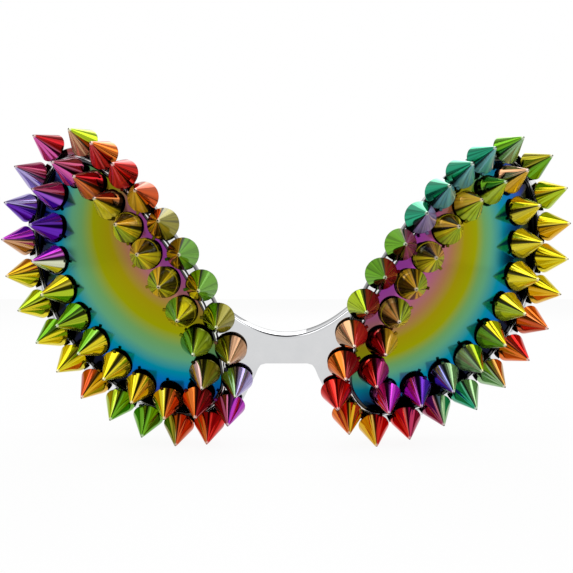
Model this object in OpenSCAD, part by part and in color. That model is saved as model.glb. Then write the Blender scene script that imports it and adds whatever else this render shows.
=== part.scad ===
// Costume glasses: a plated one-piece front with two wing-shaped rims, mirror lenses,
// two rows of cone spikes glued round each wing, and folding side arms.
// Millimetres. +X is to the viewer's right, +Y runs back to the ears, +Z is up.
// The shape is worked out about the eye line, then stood on z = 0.

/* [Wing] */
// Middle of the bridge to the nose side of each rim, on the rim's centre line
nose_half = 15.3; // [14.8:0.1:16]
// Width of one wing, on the rim's centre line
wing_w = 54.1; // [52.1:0.4:58.1]
// Height of one wing, on the rim's centre line
wing_h = 68.8; // [67:0.2:72]
// How far a wing reaches below the eye line, on the rim's centre line
wing_drop = 34; // [33:0.5:36]
// Half width of the flat middle of the front
flat_half = 12; // [11:0.5:13]
// Radius of the front seen from above, outside its flat middle
wrap_r = 90; // [86:2:110]
// Radius of the front seen from the side
face_r = 75; // [72:1:95]
// Height above the eye line at which the front stands upright
face_mid = 8; // [6:1:10]

/* [Rim and lenses] */
// Width of the rim
rim_w = 3.8; // [3.6:0.1:4.2]
// How far the rim's crown stands in front of the lens
rim_rise = 1.2; // [1:0.1:1.4]
// Depth of the rim behind the lens's front face
rim_back = 2.6; // [2.4:0.1:3.4]
// Rounding of the rim's edges
rim_round = 0.7; // [0.5:0.1:0.8]
// Depth of the groove that holds the lens
groove_d = 0.8; // [0.6:0.1:1]
// Thickness of a lens
lens_t = 1.6; // [1.4:0.1:1.8]
// Play between a lens and its groove
lens_play = 0.1; // [0.05:0.05:0.15]

/* [Bridge and nose rest] */
// Depth of the bridge's upper edge below the eye line, in the middle
bridge_dip = 12.1; // [11:0.1:13]
// Height of the bridge in the middle
bridge_h = 7.3; // [6.5:0.1:8.5]
// Sweep of the bridge's upper edge: twice its radius in the middle
bridge_sweep = 35; // [33:1:38]
// How far the bridge plate stands in front of the lens's face
plate_rise = 0.9; // [0.7:0.1:1]
// Half width of the nose opening under the bridge
nose_top = 7.2; // [6.5:0.1:7.8]
// Half width of the nose opening at its foot
nose_foot = 13.4; // [13:0.1:14]
// How far the nose rests reach behind the bridge plate
pad_reach = 6; // [4:0.5:8]
// Thickness of a nose rest
pad_t = 1.8; // [1.4:0.2:2.2]

/* [Spikes] */
// Width of a spike across its base
spike_d = 8; // [7:0.1:8]
// Height of a spike
spike_h = 7.9; // [6:0.1:9]
// Radius of a spike's blunt tip
spike_tip = 0.35; // [0.2:0.05:0.5]
// Height of the small round on a spike's base edge
spike_edge = 0.3; // [0.2:0.1:0.4]
// Glue gap under a spike
glue_gap = 0.2; // [0.15:0.05:0.3]
// Least gap from a spike to the next one in its row
spike_gap = 0.1; // [0.06:0.02:0.2]
// Distance behind the front of the point that the spikes fan out from
fan_back = 72; // [66:1:90]
// Distance over which the rows lean a full spike outward
fan_out = 69; // [66:1:80]
// The same distance for the inner row of the left wing, which was glued with more lean
fan_out_left = 48; // [46:1:60]
// Half width of the middle stretch where the spikes stand straight
fan_half = 31; // [28:1:34]
// Height of the fan's middle above the eye line
fan_up = 14; // [12:1:16]

/* [Hinges] */
// Height of the hinges above the eye line
hinge_up = 5; // [3:0.5:7]
// Height of a hinge
hinge_h = 8; // [7:0.5:9]
// Radius of a hinge knuckle
knuckle_r = 1.7; // [1.6:0.1:1.9]
// Thickness of a hinge leaf
leaf_t = 0.9; // [0.8:0.1:1]
// Length of a hinge leaf
leaf_l = 6; // [5.8:0.2:6.4]
// Radius of a hinge screw
screw_r = 0.7; // [0.6:0.05:0.8]
// Play between a screw and its knuckles, and between knuckles
hinge_play = 0.06; // [0.05:0.01:0.08]
// Radius of a rivet
rivet_r = 0.5; // [0.4:0.05:0.55]

/* [Side arms] */
// Length of the end piece that carries the hinge, behind the rim
end_l = 10; // [9.5:0.5:12]
// How far the end piece stands out past the rim
end_out = 2.6; // [2.2:0.2:3]
// Thickness of a side arm
arm_t = 3.4; // [3:0.2:3.8]
// Height of a side arm at its hinge
arm_h = 9; // [8.5:0.5:10]
// Height of a side arm where it enters its ear tip
arm_tail_h = 4.6; // [4:0.2:5]
// Length from the hinge to the ear tip's mouth
arm_l = 88; // [80:2:96]
// Length from the ear tip's mouth to its end, along the table
ear_l = 44; // [40:1:48]
// Drop of an arm over its length
arm_drop = 12; // [10:1:14]
// Thickness of an ear tip
ear_t = 4.8; // [4.6:0.2:5.4]
// Height of an ear tip
ear_h = 6.6; // [6.4:0.2:7.4]
// Size of the tongue that the ear tip is pushed over
tongue_t = 1.6; // [1.2:0.2:2]

/* [Hidden] */
SPIKE_NODES = [for (row = ["outer", "inner"], side = ["left", "right"],
                    part = ["nose", "brow", "side", "base"])
               str(row, "_spikes_", side, "_", part)];
PAIRED = ["lens", "hinge_front", "hinge_arm", "hinge_screw", "front_rivets", "arm_rivets",
          "side_arm", "ear_tip"];

// Rim outline of the right wing, clockwise from the foot of the nose side. Each point is
// [width %, height %] and how far outside it each row of spikes runs, in mm, measured on the
// hand-glued rows: [outer left, outer right, inner left, inner right].
OUTLINE = [[0.8, 9.5, 2.5, 2.9, -6, -6.5], [0, 23, 2.1, 0.7, -5.6, -7.2],
           [7.2, 42.2, 1.2, 0.7, -6.6, -7.5], [26.2, 67.1, 1.2, 0.2, -6.8, -7.4],
           [48.3, 88, 1.4, -0.2, -6.5, -7.7], [71.2, 100, 3.1, 0, -5.1, -8.2],
           [87.3, 99.7, 3.5, 1.7, -5.5, -6.7], [97.5, 88.5, 1.7, 2.5, -6.4, -7.2],
           [100, 73.4, 2.2, 1.9, -7.2, -6.9], [95.6, 52.3, 2.2, 1.7, -6.8, -5.6],
           [83.4, 32.1, 1, 2, -6.6, -5.5], [63.2, 14.5, 1.5, 1.7, -6.4, -5.5],
           [38.1, 2.5, 2.1, 0.4, -4.5, -6.4], [13.5, 0, 2.3, 2.4, -4.5, -6.5]];
SPAN_STEPS = 6;

// Each row of spikes: stops of [spike number, share of the row's length], the distance
// over which the row leans a full spike outward, and the row's column in the outline.
OUTER_LEFT = [[[0, -0.013], [3, 0.107], [10, 0.399], [11, 0.457], [17, 0.712], [24, 0.987]], fan_out, 2];
OUTER_RIGHT = [[[0, -0.027], [4, 0.127], [10, 0.372], [12, 0.474], [18, 0.727], [24, 0.972]], fan_out, 3];
INNER_LEFT = [[[0, -0.028], [9, 0.444], [10, 0.504], [12, 0.613], [19, 0.969]], fan_out_left, 4];
INNER_RIGHT = [[[0, 0.025], [4, 0.235], [8, 0.467], [13, 0.752], [18, 1.016]], fan_out, 5];

// Plating of the spikes, in row order
OUTER_LEFT_COLOURS = ["magenta", "sage", "tan", "lime", "green", "lime", "gold", "orange",
    "scarlet", "scarlet", "green", "scarlet", "pink", "lavender", "magenta", "gold", "lime",
    "lime", "gold", "orange", "green", "green", "gold", "scarlet"];
INNER_LEFT_COLOURS = ["scarlet", "violet", "green", "lime", "gold", "gold", "gold", "gold",
    "scarlet", "magenta", "lavender", "violet", "pink", "gold", "green", "lime", "gold",
    "gold", "orange"];
OUTER_RIGHT_COLOURS = ["orange", "scarlet", "scarlet", "olive", "green", "green", "green",
    "teal", "teal", "teal", "teal", "teal", "lime", "lime", "gold", "gold", "gold",
    "scarlet", "scarlet", "orange", "teal", "pink", "scarlet", "orange"];
INNER_RIGHT_COLOURS = ["magenta", "scarlet", "orange", "gold", "gold", "gold", "gold", "lime",
    "orange", "gold", "gold", "gold", "lime", "lime", "sage", "violet", "magenta", "magenta"];
PALETTE = [["magenta", [0.72, 0.1, 0.55]], ["sage", [0.55, 0.72, 0.55]], ["tan", [0.72, 0.55, 0.4]],
    ["lime", [0.55, 0.62, 0.08]], ["green", [0.28, 0.6, 0.12]], ["gold", [0.78, 0.66, 0.05]],
    ["orange", [0.85, 0.42, 0.1]], ["scarlet", [0.82, 0.15, 0.12]], ["pink", [0.85, 0.5, 0.65]],
    ["lavender", [0.68, 0.6, 0.85]], ["violet", [0.45, 0.15, 0.75]], ["olive", [0.5, 0.48, 0.1]],
    ["teal", [0.15, 0.6, 0.5]]];

function plating(word) = [for (entry = PALETTE) if (entry[0] == word) entry[1]][0];
function unit(v) = v / norm(v);

// The wrap surface that the lens faces lie on: p is [x, z] from the eye line, rise is
// the height in front of it.
function bow(d, r) = r - sqrt(r * r - d * d);
function slope(d, r) = d / sqrt(r * r - d * d);
function past_flat(x) = max(0, abs(x) - flat_half);
function wrap_y(p) = bow(past_flat(p[0]), wrap_r) + bow(p[1] - face_mid, face_r);
function wrap_normal(p) = unit([sign(p[0]) * slope(past_flat(p[0]), wrap_r), -1,
                                slope(p[1] - face_mid, face_r)]);
function on_wrap(p, rise) = [p[0], wrap_y(p), p[1]] + rise * wrap_normal(p);

// Closed smooth curve through points of any length
function blend4(a, b, c, d, t) = 0.5 * (2 * b + (c - a) * t + (2 * a - 5 * b + 4 * c - d) * t * t
                                        + (3 * b - a - 3 * c + d) * t * t * t);
function closed_curve(pts, steps) = let (n = len(pts))
    [for (i = [0:n - 1], k = [0:steps - 1])
        blend4(pts[(i + n - 1) % n], pts[i], pts[(i + 1) % n], pts[(i + 2) % n], k / steps)];

CURVE = closed_curve(OUTLINE, SPAN_STEPS);
STATIONS = len(CURVE);
RIM_LINE = [for (c = CURVE) [nose_half + c[0] * wing_w / 100, c[1] * wing_h / 100 - wing_drop]];

// Outward direction at a station, in the front view
function outward(line, i) = let (t = line[(i + 1) % STATIONS] - line[(i + STATIONS - 1) % STATIONS])
    unit([-t[1], t[0]]);

// A station's own point, outward and forward directions on the wrap surface
function station(i) = let (p = on_wrap(RIM_LINE[i], 0), f = wrap_normal(RIM_LINE[i]),
                           t = on_wrap(RIM_LINE[(i + 1) % STATIONS], 0)
                               - on_wrap(RIM_LINE[(i + STATIONS - 1) % STATIONS], 0))
    [p, unit(cross(f, t)), f];
FRAMES = [for (i = [0:STATIONS - 1]) station(i)];
function rim_point(s, at) = s[0] + at[0] * s[1] + at[1] * s[2];

// Rim section as [outward, forward] from the centre line, with the lens groove
half_w = rim_w / 2;
CROWN = [[-half_w, rim_rise * 0.45], [-half_w + rim_round, rim_rise * 0.85], [-half_w / 5, rim_rise],
         [half_w / 5, rim_rise], [half_w - rim_round, rim_rise * 0.8], [half_w, rim_rise * 0.35]];
SECTION = concat([[-half_w, lens_play]], CROWN,
                 [[half_w, rim_round - rim_back], [half_w - rim_round, -rim_back],
                  [rim_round - half_w, -rim_back], [-half_w, -lens_t - rim_round],
                  [-half_w, -lens_t - lens_play], [groove_d - half_w, -lens_t - lens_play],
                  [groove_d - half_w, lens_play]]);
function halved(pts) = concat([for (i = [0:len(pts) - 2]) each [pts[i], (pts[i] + pts[i + 1]) / 2]],
                              [pts[len(pts) - 1]]);
CROWN_POINTS = let (rings = halved([for (i = [0:STATIONS]) [for (at = CROWN) rim_point(FRAMES[i % STATIONS], at)]]))
               [for (ring = rings) each halved(ring)];

// Bridge plate edges as [distance from the middle, height from the eye line]
plate_half = nose_half + rim_w / 12;
bridge_foot = -bridge_dip - bridge_h;
TOP_EDGE = concat([for (x = [0:2:14]) [x, x * x / bridge_sweep - bridge_dip]],
                  [[plate_half, 210 / bridge_sweep - bridge_dip]]);
NOSE_EDGE = [[0, bridge_foot], [nose_top - 2, bridge_foot], [nose_top - 0.7, bridge_foot - 0.4],
             [nose_top, bridge_foot - 1.4], [nose_top + 0.8, bridge_foot - 3.4],
             [nose_foot, -wing_drop + 0.4], [nose_foot + 1.2, -wing_drop - 0.4],
             [plate_half, -wing_drop + 0.4]];
function plate_top(x) = lookup(abs(x), TOP_EDGE);
function plate_foot(x) = lookup(abs(x), NOSE_EDGE);

// Places of one row's spikes: [base centre, axis]
function row_line(row) =
    [for (i = [0:STATIONS - 1])
        let (reach = CURVE[i][row[2]] - (row[2] > 3 ? spike_d - 8 : 0),
             p = RIM_LINE[i] + reach * outward(RIM_LINE, i))
        on_wrap(p, 0)];
function run_lengths(line) = [for (i = 0, s = 0; i <= STATIONS;
    s = s + norm(line[(i + 1) % STATIONS] - line[i % STATIONS]), i = i + 1) s];
function along(line, run, s) = [for (k = [0:2])
    lookup(s, [for (i = [0:STATIONS]) [run[i], line[i % STATIONS][k]]])];
function tightest(stops) = let (n = len(stops))
    stops[n - 1][0] * min([for (i = [1:n - 1]) (stops[i][1] - stops[i - 1][1])
                                               / (stops[i][0] - stops[i - 1][0])]);
function spike_axis(p, fan) = unit([max(0, p[0] - fan_half) / fan, -1, (p[2] - fan_up) / fan_back]);

// How far a spike's flat base has to clear the wrap surface, along its axis
function skin_rise(p) = p[0] < plate_half ? plate_rise : 0;
function lift(c, d) =
    let (e = unit(cross(d, [0, 0, 1])), g = cross(d, e), r = spike_d / 2,
         skin = [for (a = [0:30:330]) let (q = c + r * (cos(a) * e + sin(a) * g), p = [q[0], q[2]])
                 (on_wrap(p, skin_rise(p)) - c) * d],
         crown = [for (q = CROWN_POINTS) if (abs(q[0] - c[0]) < spike_d && abs(q[2] - c[2]) < spike_d)
                      let (v = q - c, a = v * d) if (norm(v - a * d) < r + 0.3) a])
    max(concat(skin, crown)) + glue_gap;
function row_spikes(row) =
    let (line = row_line(row), run = run_lengths(line), total = run[STATIONS],
         stops = row[0], planned = stops[len(stops) - 1][0],
         count = min(planned, floor(total * tightest(stops) / (spike_d + spike_gap))))
    [for (i = [0:count - 1])
        let (share = lookup(i * planned / count, stops),
             c = along(line, run, (share < 0 ? share + 1 : share >= 1 ? share - 1 : share) * total),
             d = spike_axis(c, row[1]))
        [c + [0, lift(c, d) / d[1], 0], d]];
SPIKES_OL = row_spikes(OUTER_LEFT);
SPIKES_OR = row_spikes(OUTER_RIGHT);
SPIKES_IL = row_spikes(INNER_LEFT);
SPIKES_IR = row_spikes(INNER_RIGHT);
ALL_SPIKES = concat(SPIKES_OL, SPIKES_OR, SPIKES_IL, SPIKES_IR);

// The part stands on its lowest spikes and on the ear tips' flats
ground = -min([for (s = ALL_SPIKES) s[0][2] + min(spike_h * s[1][2],
                                                  -spike_d / 2 * sqrt(1 - s[1][2] * s[1][2]))]);
front_y = min([for (s = ALL_SPIKES) s[0][1] + spike_h * s[1][1]]);

// Where the end piece leaves the rim, at the hinge's height on the outer side
side_station = let (far = [for (i = [0:STATIONS - 1])
                           RIM_LINE[i][0] > nose_half + wing_w / 2 ? abs(RIM_LINE[i][1] - hinge_up) : 99])
    search(min(far), far)[0];
side_edge = rim_point(FRAMES[side_station], [half_w, -rim_back / 2]);
end_x = side_edge[0] + end_out;
end_y = side_edge[1] + end_l;
arm_in = end_x - arm_t;
axis_x = arm_in - leaf_t - knuckle_r + 0.5;
axis_y = end_y + 0.2;
knuckle_h = hinge_h / 3;
arm_end_y = axis_y + arm_l + ear_l;
middle_y = (front_y + arm_end_y) / 2;
ear_z = hinge_up - arm_drop;

module stand() translate([0, -middle_y, ground]) children();
module on_side(side) mirror([side == "left" ? 1 : 0, 0, 0]) children();

// Closed band through rings of points
module band(rings) {
    n = len(rings);
    m = len(rings[0]);
    polyhedron(points = [for (r = rings) each r],
               faces = [for (i = [0:n - 1], j = [0:m - 1])
                        let (a = i * m + j, b = i * m + (j + 1) % m,
                             c = (i + 1) % n * m + (j + 1) % m, d = (i + 1) % n * m + j)
                        each [[a, b, c], [a, c, d]]]);
}

// Curved sheet between a front and a back grid of points, each rows by columns
module sheet(front, back) {
    rows = len(front);
    cols = len(front[0]);
    size = rows * cols;
    function at(r, c) = r * cols + c;
    polyhedron(points = concat([for (r = front) each r], [for (r = back) each r]),
               faces = concat(
        [for (r = [0:rows - 2], c = [0:cols - 2]) each
            [[at(r, c), at(r + 1, c), at(r + 1, c + 1)], [at(r, c), at(r + 1, c + 1), at(r, c + 1)]]],
        [for (r = [0:rows - 2], c = [0:cols - 2]) each
            [[at(r, c) + size, at(r + 1, c + 1) + size, at(r + 1, c) + size],
             [at(r, c) + size, at(r, c + 1) + size, at(r + 1, c + 1) + size]]],
        [for (c = [0:cols - 2]) each
            [[at(0, c), at(0, c + 1), at(0, c + 1) + size], [at(0, c), at(0, c + 1) + size, at(0, c) + size],
             [at(rows - 1, c), at(rows - 1, c + 1) + size, at(rows - 1, c + 1)],
             [at(rows - 1, c), at(rows - 1, c) + size, at(rows - 1, c + 1) + size]]],
        [for (r = [0:rows - 2]) each
            [[at(r, 0), at(r + 1, 0) + size, at(r + 1, 0)], [at(r, 0), at(r, 0) + size, at(r + 1, 0) + size],
             [at(r, cols - 1), at(r + 1, cols - 1), at(r + 1, cols - 1) + size],
             [at(r, cols - 1), at(r + 1, cols - 1) + size, at(r, cols - 1) + size]]]));
}

// Half of the plated front: one rim, one end piece and one nose rest
module rim() band([for (s = FRAMES) [for (at = SECTION) rim_point(s, at)]]);

module end_piece() {
    lower = hinge_up - hinge_h / 2 - 0.8;
    translate([0, 0, lower]) linear_extrude(hinge_h + 1.6)
        polygon([[side_edge[0] - 3.2, side_edge[1] + 0.3], [side_edge[0] - 0.2, side_edge[1]],
                 [end_x, end_y - 5.5], [end_x, end_y], [arm_in, end_y], [arm_in, end_y - leaf_l - 2.1]]);
}

// Nose rest: a fin that runs back from the nose edge of the leg, thin at its foot
PAD_STEPS = 5;
module nose_rest() {
    for (i = [0:PAD_STEPS - 1]) hull() {
        nose_rib(i / PAD_STEPS);
        nose_rib((i + 1) / PAD_STEPS);
    }
}
module nose_rib(t) {
    x = nose_top + 1.4 + t * (nose_foot - nose_top - 1) + pad_t / 2;
    z = bridge_foot - 3 - t * (wing_drop + bridge_foot - 5.5);
    y = wrap_y([x, z]);
    reach = pad_reach * (0.55 + 0.45 * sin(180 * t));
    for (back = [0.4, 1]) translate([x + 1.6 * back, y + reach * back, z])
        sphere(d = pad_t, $fn = 10);
}

PLATE_COLS = 32;
PLATE_ROWS = [[0, 0.2], [0.05, 0.75], [0.14, 1], [0.5, 1], [0.86, 1], [0.95, 0.75], [1, 0.2]];
module bridge_plate() {
    function column(c) = plate_half * (2 * c / PLATE_COLS - 1);
    function spot(x, t) = [x, plate_foot(x) + t * (plate_top(x) - plate_foot(x))];
    sheet([for (r = PLATE_ROWS) [for (c = [0:PLATE_COLS]) on_wrap(spot(column(c), r[0]), plate_rise * r[1])]],
          [for (r = PLATE_ROWS) [for (c = [0:PLATE_COLS]) on_wrap(spot(column(c), r[0]), -rim_back)]]);
}

module rivet_places() for (dz = [-hinge_h / 4, hinge_h / 4]) translate([0, 0, hinge_up + dz]) children();
front_rivet_y = axis_y - knuckle_r - leaf_l / 2;
arm_rivet_y = axis_y + knuckle_r + 0.2 + leaf_l / 2;
rivet_deep = 1.5;

module front_frame() color([0.78, 0.79, 0.82]) stand() difference() {
    union() {
        bridge_plate();
        for (side = ["left", "right"]) on_side(side) {
            rim();
            end_piece();
            nose_rest();
        }
    }
    for (side = ["left", "right"]) on_side(side) rivet_places()
        translate([arm_in - 1, front_rivet_y, 0]) rotate([0, 90, 0])
            cylinder(r = rivet_r + hinge_play, h = 1 + rivet_deep + hinge_play, $fn = 24);
}

LENS_RINGS = 5;
module lens(side) {
    edge = [for (s = FRAMES) let (q = rim_point(s, [groove_d - half_w - lens_play, 0])) [q[0], q[2]]];
    middle = [for (k = [0:1]) (max([for (p = edge) p[k]]) + min([for (p = edge) p[k]])) / 2];
    shares = [for (k = [1:LENS_RINGS]) sqrt(k / LENS_RINGS)];
    n = STATIONS;
    size = n * LENS_RINGS;
    function ring(k, rise) = [for (p = edge) on_wrap(middle + shares[k] * (p - middle), rise)];
    function at(k, i) = k * n + i % n;
    points = concat([for (k = [0:LENS_RINGS - 1]) each ring(k, 0)], [on_wrap(middle, 0)],
                    [for (k = [0:LENS_RINGS - 1]) each ring(k, -lens_t)], [on_wrap(middle, -lens_t)]);
    back = size + 1;
    faces = concat(
        [for (i = [0:n - 1]) [size, at(0, i), at(0, i + 1)]],
        [for (k = [0:LENS_RINGS - 2], i = [0:n - 1]) each
            [[at(k, i), at(k + 1, i), at(k + 1, i + 1)], [at(k, i), at(k + 1, i + 1), at(k, i + 1)]]],
        [for (i = [0:n - 1]) [back + size, back + at(0, i + 1), back + at(0, i)]],
        [for (k = [0:LENS_RINGS - 2], i = [0:n - 1]) each
            [[back + at(k, i), back + at(k + 1, i + 1), back + at(k + 1, i)],
             [back + at(k, i), back + at(k, i + 1), back + at(k + 1, i + 1)]]],
        [for (i = [0:n - 1]) let (k = LENS_RINGS - 1) each
            [[at(k, i), back + at(k, i + 1), at(k, i + 1)], [at(k, i), back + at(k, i), back + at(k, i + 1)]]]);
    color([0.55, 0.6, 0.2]) stand() on_side(side) polyhedron(points, faces);
}

// One cone spike with a flat back, pointing along +Z
module spike() {
    r = spike_d / 2;
    rotate_extrude($fn = 48)
        polygon([[0, 0], [r - 0.25, 0], [r, spike_edge], [spike_tip, spike_h - spike_tip],
                 [spike_tip / 2, spike_h - spike_tip / 4], [0, spike_h]]);
}

// The spikes of one stretch of a row, by number
module spike_stretch(places, colours, side, first, last) stand() on_side(side)
    for (i = [first:min(last, len(places) - 1)]) color(plating(colours[i])) {
        d = places[i][1];
        translate(places[i][0]) rotate([0, acos(d[2]), atan2(d[1], d[0])]) spike();
    }

// Hinge knuckles are solid rounds about the axis, shared out by height
module knuckle(low, high) translate([axis_x, axis_y, hinge_up + low]) cylinder(r = knuckle_r, h = high - low, $fn = 48);
module screw_hole(r) translate([axis_x, axis_y, hinge_up - hinge_h]) cylinder(r = r, h = 2 * hinge_h, $fn = 32);
module leaf(y, length, low, high) translate([arm_in - leaf_t, y, hinge_up + low]) cube([leaf_t, length, high - low]);

module hinge_front(side) color([0.72, 0.73, 0.75]) stand() on_side(side) difference() {
    union() {
        leaf(axis_y - knuckle_r - 0.2 - leaf_l, leaf_l, -hinge_h / 2, hinge_h / 2);
        for (z = [-hinge_h / 2, knuckle_h / 2]) {
            knuckle(z, z + knuckle_h);
            leaf(axis_y - knuckle_r - 0.4, knuckle_r + 0.4, z, z + knuckle_h);
        }
    }
    screw_hole(screw_r + hinge_play);
    rivet_places() translate([arm_in - 2 * leaf_t, front_rivet_y, 0]) rotate([0, 90, 0])
        cylinder(r = rivet_r + hinge_play, h = 3 * leaf_t, $fn = 24);
}

module hinge_arm(side) color([0.72, 0.73, 0.75]) stand() on_side(side) difference() {
    union() {
        leaf(axis_y + knuckle_r + 0.2, leaf_l, -hinge_h / 2, hinge_h / 2);
        knuckle(hinge_play - knuckle_h / 2, knuckle_h / 2 - hinge_play);
        leaf(axis_y, knuckle_r + 0.4, hinge_play - knuckle_h / 2, knuckle_h / 2 - hinge_play);
    }
    screw_hole(screw_r + hinge_play);
    rivet_places() translate([arm_in - 2 * leaf_t, arm_rivet_y, 0]) rotate([0, 90, 0])
        cylinder(r = rivet_r + hinge_play, h = 3 * leaf_t, $fn = 24);
}

// Slotted cheese-head screw, dropped in from above
module hinge_screw(side) color([0.6, 0.61, 0.63]) stand() on_side(side)
    translate([axis_x, axis_y, hinge_up]) difference() {
        union() {
            translate([0, 0, -hinge_h / 2 - 0.3]) cylinder(r = screw_r, h = hinge_h + 0.4, $fn = 32);
            translate([0, 0, hinge_h / 2 + 0.05]) cylinder(r = knuckle_r - 0.3, h = 0.7, $fn = 32);
        }
        translate([-knuckle_r, -0.15, hinge_h / 2 + 0.45]) cube([2 * knuckle_r, 0.3, 1]);
    }

module rivets(side, y) color([0.72, 0.73, 0.75]) stand() on_side(side) rivet_places()
    translate([arm_in - leaf_t, y, 0]) rotate([0, 90, 0]) {
        cylinder(r = rivet_r, h = leaf_t + rivet_deep, $fn = 24);
        translate([0, 0, -0.35]) cylinder(r = rivet_r + 0.35, h = 0.35, $fn = 24);
    }

// Side outline of an arm in the plane of y and z, as a thick line through centre points
function side_normal(pts, i) = let (n = len(pts), t = pts[min(i + 1, n - 1)] - pts[max(i - 1, 0)])
    unit([-t[1], t[0]]);
function thick_line(pts, widths) = concat(
    [for (i = [0:len(pts) - 1]) pts[i] + widths[i] / 2 * side_normal(pts, i)],
    [for (i = [len(pts) - 1:-1:0]) pts[i] - widths[i] / 2 * side_normal(pts, i)]);
module side_plate(x, thick) translate([x, 0, 0]) rotate([90, 0, 90]) linear_extrude(thick) children();

arm_start = axis_y + 0.2;
mouth_y = axis_y + arm_l;
ARM_STEPS = 8;
ARM_LINE = [for (k = [0:ARM_STEPS]) let (t = k / ARM_STEPS)
            [arm_start + t * (mouth_y - arm_start), hinge_up - arm_drop * t * (0.6 + 0.4 * t)]];
ARM_WIDTHS = [for (k = [0:ARM_STEPS]) let (t = k / ARM_STEPS) arm_h + (arm_tail_h - arm_h) * sqrt(t)];

// The ear tip bends down to the table in one smooth curve
ear_floor = -ground + ear_h * 0.36;
EAR_STEPS = 10;
function ear_point(t) = let (a = [mouth_y, ear_z], b = [mouth_y + ear_l * 0.45, ear_z - arm_drop * 0.75],
                             c = [mouth_y + ear_l - ear_h * 0.6, ear_floor])
    (1 - t) * (1 - t) * a + 2 * t * (1 - t) * b + t * t * c;
EAR_LINE = [for (k = [0:EAR_STEPS]) ear_point(k / EAR_STEPS)];
EAR_UPWARD = side_normal(EAR_LINE, EAR_STEPS);
EAR_ENDWAYS = [EAR_UPWARD[1], -EAR_UPWARD[0]];
tongue_share = 0.55;
TONGUE_LINE = [for (k = [0:6]) ear_point(k / 6 * tongue_share)];
// The ear tip's mouth is square to the arm's end, a little way off it
MOUTH_UPWARD = side_normal(ARM_LINE, ARM_STEPS);
MOUTH = EAR_LINE[0] + lens_play * [MOUTH_UPWARD[1], -MOUTH_UPWARD[0]];
function ear_side(k, turn) = k == 0 ? MOUTH + turn * ear_h / 2 * MOUTH_UPWARD
                                    : EAR_LINE[k] + turn * ear_h / 2 * side_normal(EAR_LINE, k);

module side_arm(side) color([0.78, 0.79, 0.82]) stand() on_side(side) difference() {
    union() {
        side_plate(arm_in, arm_t) polygon(thick_line(ARM_LINE, ARM_WIDTHS));
        side_plate(arm_in + (arm_t - tongue_t) / 2, tongue_t)
            polygon(thick_line(concat([ARM_LINE[ARM_STEPS - 1]], TONGUE_LINE), [for (k = [0:7]) arm_tail_h * 0.6]));
    }
    rivet_places() translate([arm_in - 1, arm_rivet_y, 0]) rotate([0, 90, 0])
        cylinder(r = rivet_r + hinge_play, h = 1 + rivet_deep + hinge_play, $fn = 24);
}

module ear_tip(side) color([0.12, 0.12, 0.13]) stand() on_side(side) difference() {
    side_plate(arm_in + (arm_t - ear_t) / 2, ear_t) polygon(concat(
        [for (k = [0:EAR_STEPS]) ear_side(k, 1)],
        [for (a = [75:-15:-75]) EAR_LINE[EAR_STEPS] + ear_h / 2 * (cos(a) * EAR_ENDWAYS + sin(a) * EAR_UPWARD)],
        [for (k = [EAR_STEPS:-1:0]) ear_side(k, -1)]));
    side_plate(arm_in + (arm_t - tongue_t) / 2 - lens_play, tongue_t + 2 * lens_play)
        polygon(thick_line(concat([ARM_LINE[ARM_STEPS - 1]],
                                  [for (k = [0:6]) ear_point(k / 6 * (tongue_share + 0.02))]),
                           [for (k = [0:7]) arm_tail_h * 0.6 + 2 * lens_play]));
    translate([0, mouth_y, -ground - ear_h]) cube([2 * end_x, 2 * ear_l, ear_h]);
}

OUTER_PARTS = [[0, 3], [4, 10], [11, 17], [18, 99]];
INNER_PARTS = [[0, 2], [3, 9], [10, 14], [15, 99]];

front_frame();
lens("left");  // lens_left
lens("right");  // lens_right
for (k = [0:3]) {
    part = ["nose", "brow", "side", "base"][k];
    o = OUTER_PARTS[k];
    i = INNER_PARTS[k];
    spike_stretch(SPIKES_OL, OUTER_LEFT_COLOURS, "left", o[0], o[1]);
    spike_stretch(SPIKES_OR, OUTER_RIGHT_COLOURS, "right", o[0], o[1]);
    spike_stretch(SPIKES_IL, INNER_LEFT_COLOURS, "left", i[0], i[1]);
    spike_stretch(SPIKES_IR, INNER_RIGHT_COLOURS, "right", i[0], i[1]);
}
for (side = ["left", "right"]) {
    hinge_front(side);
    hinge_arm(side);
    hinge_screw(side);
    rivets(side, front_rivet_y);
    rivets(side, arm_rivet_y);
    side_arm(side);
    ear_tip(side);
}
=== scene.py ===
import math
import random

import bmesh
import bpy
from mathutils import Matrix, Vector


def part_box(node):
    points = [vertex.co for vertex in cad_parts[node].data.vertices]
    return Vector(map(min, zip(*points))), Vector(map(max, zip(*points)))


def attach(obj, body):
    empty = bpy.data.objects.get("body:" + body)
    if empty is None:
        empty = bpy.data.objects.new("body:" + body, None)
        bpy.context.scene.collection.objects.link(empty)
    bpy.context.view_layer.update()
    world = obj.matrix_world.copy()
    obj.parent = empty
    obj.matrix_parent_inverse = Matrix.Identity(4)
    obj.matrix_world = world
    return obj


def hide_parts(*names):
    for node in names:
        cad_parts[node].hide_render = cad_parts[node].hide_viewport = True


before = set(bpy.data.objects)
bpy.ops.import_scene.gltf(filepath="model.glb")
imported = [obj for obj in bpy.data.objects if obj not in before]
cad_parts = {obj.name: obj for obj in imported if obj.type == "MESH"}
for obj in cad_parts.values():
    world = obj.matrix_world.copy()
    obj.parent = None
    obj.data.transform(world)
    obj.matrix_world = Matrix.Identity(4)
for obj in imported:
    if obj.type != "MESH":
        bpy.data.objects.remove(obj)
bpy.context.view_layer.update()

# The front is one hard plastic moulding: two wing-shaped rims, the bridge plate between them,
# two nose rests and the end pieces that carry the hinges. It is bent round the face and
# vacuum plated in bright silver. Sizes are in millimetres from the eye line.
MM = 0.001
NOSE_HALF, WING_W, WING_H, WING_DROP = 15.3, 54.1, 68.8, 34
FLAT_HALF, WRAP_R, FACE_R, FACE_MID = 12, 90, 75, 8
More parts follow.
